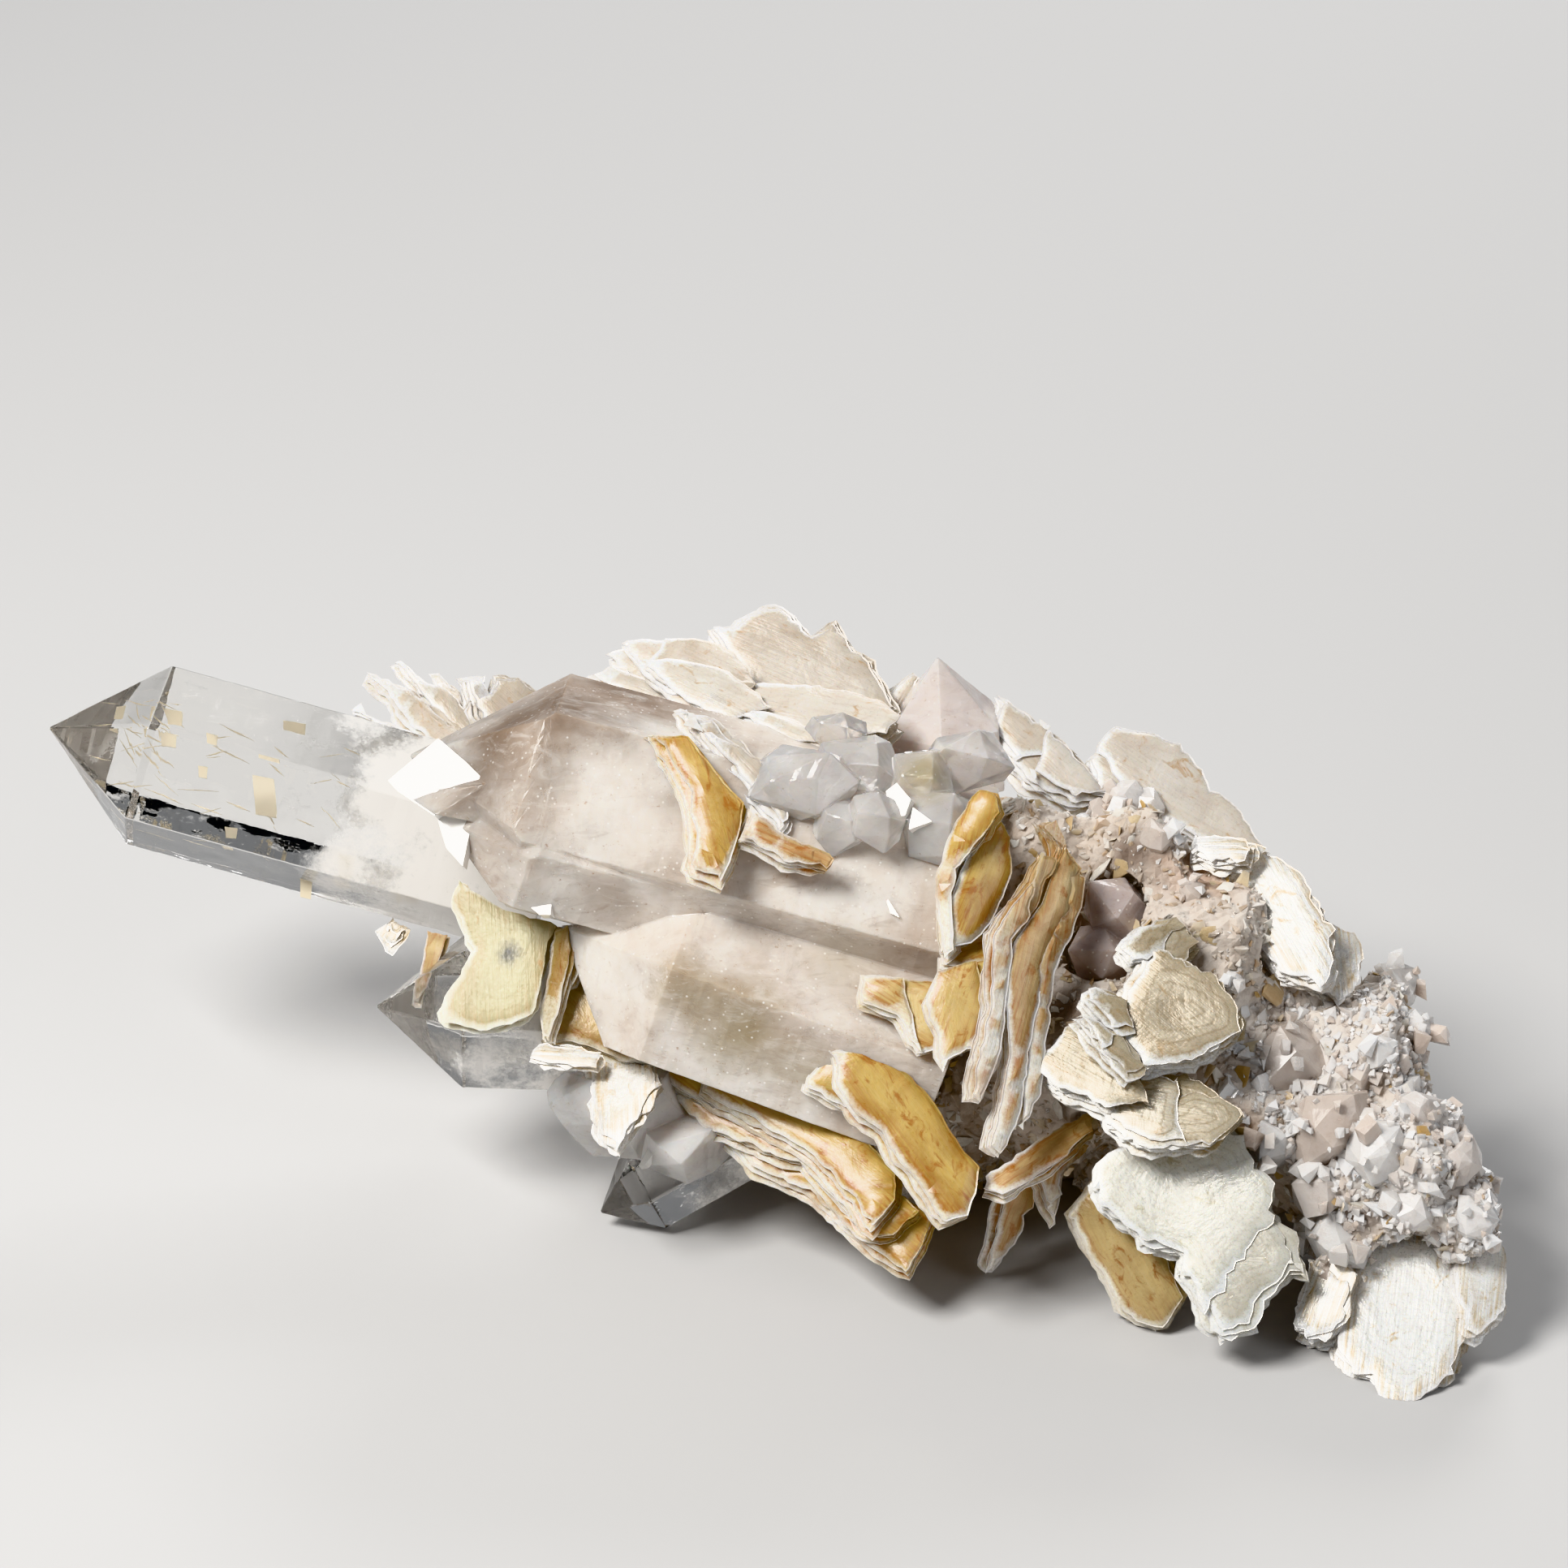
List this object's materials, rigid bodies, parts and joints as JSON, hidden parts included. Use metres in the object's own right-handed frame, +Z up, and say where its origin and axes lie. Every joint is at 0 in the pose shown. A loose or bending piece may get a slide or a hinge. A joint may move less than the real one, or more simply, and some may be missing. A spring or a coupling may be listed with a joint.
{
  "type": "quartz cluster on muscovite",
  "caption": "Free-standing mineral cluster: long clear and milky quartz crystals with golden and silvery muscovite books on a granular quartz crust.",
  "frame": {"origin": "middle of the bounding box, on the surface that the cluster rests on", "axes": "+X along the specimen, away from the free point of the long clear crystal; -Y towards the showing side; +Z up"},
  "size_m": [0.18, 0.0938, 0.0678],
  "materials": {
    "clear_quartz": "clear polished crystal faces, milky towards the root",
    "milky_quartz": "translucent, greyish white with smoky patches",
    "golden_mica": "pearly, golden brown with white split edges",
    "tan_mica": "pearly, tan with orange stain",
    "silver_mica": "pearly to mirror-bright, silver white",
    "crust": "granular, dull with glinting grains"
  },
  "bodies": {
    "root": {"long_clear_crystal": "clear_quartz", "milky_crystal_group": "milky_quartz", "left_crystal": "clear_quartz", "twin_stubby_crystals": "clear_quartz", "bottom_crystal": "clear_quartz", "summit_crystal": "milky_quartz", "quartz_knot": "milky_quartz", "grey_crystals": "milky_quartz", "mica_rosette_left": "tan_mica", "mica_flake_left": "silver_mica", "mica_blade_left": "tan_mica", "mica_swallowtail": "golden_mica", "mica_golden_plate": "golden_mica", "mica_white_plate": "silver_mica", "mica_rosette_top": "silver_mica", "mica_books_upper": "tan_mica", "mica_book_golden": "golden_mica", "mica_book_lower": "tan_mica", "mica_upright_left": "golden_mica", "mica_upright_books": "tan_mica", "mica_yellow_plates": "golden_mica", "mica_tongue": "golden_mica", "mica_lower_books": "golden_mica", "mica_dish_plate": "tan_mica", "mica_hanging_blades": "tan_mica", "mica_brown_blade": "tan_mica", "mica_silver_book": "silver_mica", "mica_silver_shelf": "silver_mica", "mica_chevron_book": "silver_mica", "mica_ridge_plates": "tan_mica", "mica_bright_flake": "silver_mica", "mica_white_book": "silver_mica", "mica_foot_plates": "silver_mica", "quartz_crust": "crust"}
  },
  "joints": []
}
